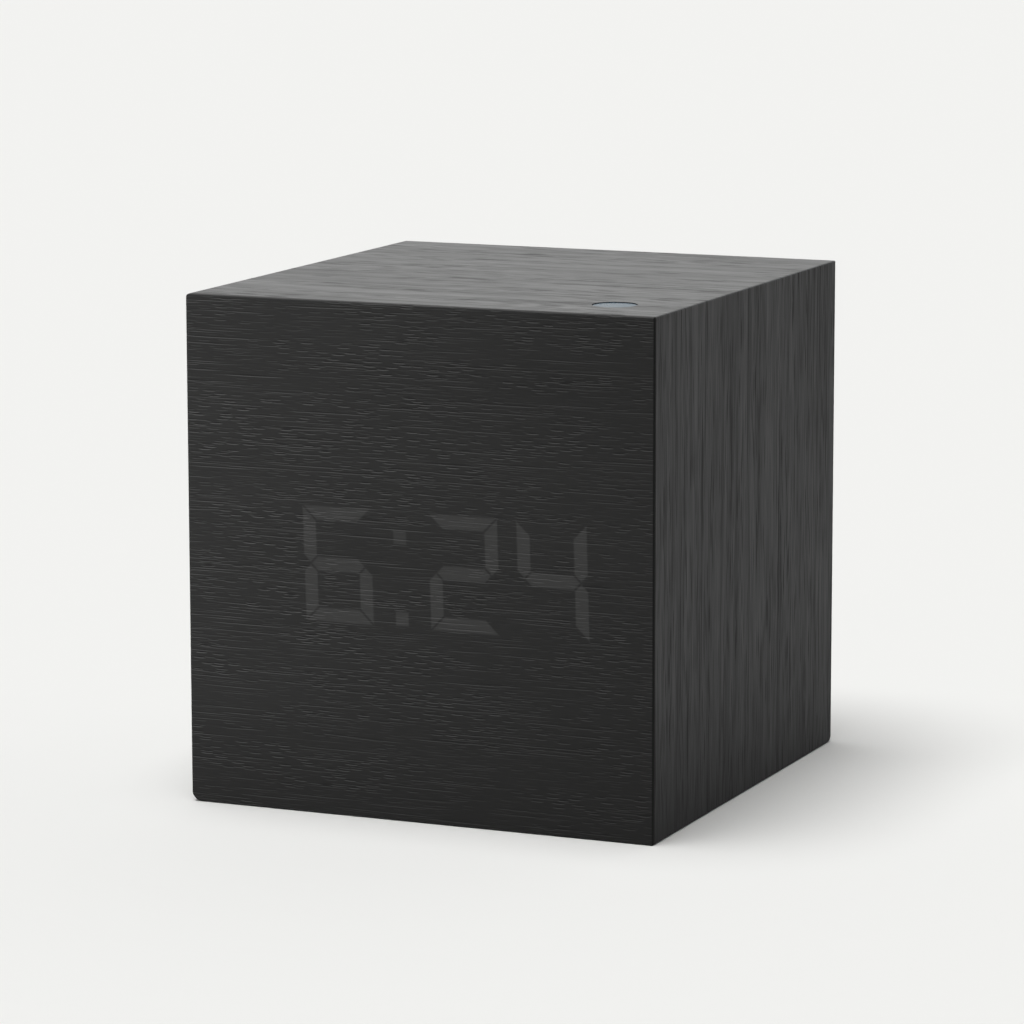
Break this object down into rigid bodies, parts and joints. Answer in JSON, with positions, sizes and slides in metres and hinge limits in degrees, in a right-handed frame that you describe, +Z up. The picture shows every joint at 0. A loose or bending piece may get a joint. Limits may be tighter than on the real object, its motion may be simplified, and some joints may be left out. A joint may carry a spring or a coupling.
{
  "type": "digital alarm clock",
  "caption": "Cube table clock: black veneered box, digits shining through the front, light sensor on top, recessed rear panel with battery door, push buttons, sound switch and power socket.",
  "frame": {"origin": "middle of the base, on the surface that the clock stands on", "axes": "+Z up, -Y towards the viewer out of the display, +X to the viewer's right"},
  "size_m": [0.066, 0.068, 0.068],
  "materials": {
    "black_veneer": "open-pored veneer, black stain, satin lacquer",
    "fibreboard": "dark fibreboard, sawn edges",
    "smoked_lens": "polished, smoked blue",
    "black_abs": "fine spark-eroded texture",
    "circuit_board": "green solder resist",
    "steel": "nickel plated",
    "brass": "plain",
    "moulded_parts": "moulded epoxy and nylon",
    "white_plastic": "white, diffusing",
    "clear_epoxy": "cast, milky",
    "cell_sleeve": "printed sleeve, plain",
    "wire_sleeve": "soft sleeve"
  },
  "bodies": {
    "case": {"front_veneer": "black_veneer", "top_veneer": "black_veneer", "left_veneer": "black_veneer", "right_veneer": "black_veneer", "base_veneer": "black_veneer", "front_board": "fibreboard", "top_board": "fibreboard", "left_board": "fibreboard", "right_board": "fibreboard", "base_board": "fibreboard", "corner_blocks": "fibreboard", "sensor_lens": "smoked_lens", "sensor_holder": "black_abs", "display_header": "black_abs", "board_header": "black_abs", "rear_panel": "black_abs", "power_socket": "black_abs", "sensor_board": "circuit_board", "display_board": "circuit_board", "main_board": "circuit_board", "sensor_screws": "steel", "display_screws": "steel", "rear_panel_screws": "steel", "main_board_screws": "steel", "battery_springs": "steel", "clock_crystal": "steel", "sound_switch_body": "steel", "microphone": "steel", "battery_contacts": "brass", "socket_pin": "brass", "controller_chip": "moulded_parts", "switch_bodies": "moulded_parts", "buzzer": "moulded_parts", "led_reflector": "white_plastic", "display_diffuser": "white_plastic", "led_segments": "clear_epoxy", "led_chips": "clear_epoxy", "light_sensor": "clear_epoxy", "aaa_cells": "cell_sleeve", "smoothing_capacitor": "cell_sleeve", "sensor_lead": "wire_sleeve", "battery_leads": "wire_sleeve", "display_ribbon": "wire_sleeve"},
    "battery_door": {"battery_door": "black_abs"},
    "set_button": {"set_button": "black_abs", "set_plunger": "brass"},
    "up_button": {"up_button": "black_abs", "up_plunger": "brass"},
    "down_button": {"down_button": "black_abs", "down_plunger": "brass"},
    "sound_switch": {"sound_switch_knob": "black_abs"}
  },
  "joints": [
    {"name": "battery_door_hinge", "type": "hinge", "parent": "case", "child": "battery_door", "pos_m": [0, 0.0317, 0.00805], "axis": [-1, 0, 0], "range_deg": [0, 95]},
    {"name": "set_button_press", "type": "slide", "parent": "case", "child": "set_button", "axis": [0, -1, 0], "range_m": [0, 0.0004], "stiffness_N_per_m": 3000},
    {"name": "up_button_press", "type": "slide", "parent": "case", "child": "up_button", "axis": [0, -1, 0], "range_m": [0, 0.0004], "stiffness_N_per_m": 3000},
    {"name": "down_button_press", "type": "slide", "parent": "case", "child": "down_button", "axis": [0, -1, 0], "range_m": [0, 0.0004], "stiffness_N_per_m": 3000},
    {"name": "sound_switch_slide", "type": "slide", "parent": "case", "child": "sound_switch", "axis": [1, 0, 0], "range_m": [0, 0.0024]}
  ]
}
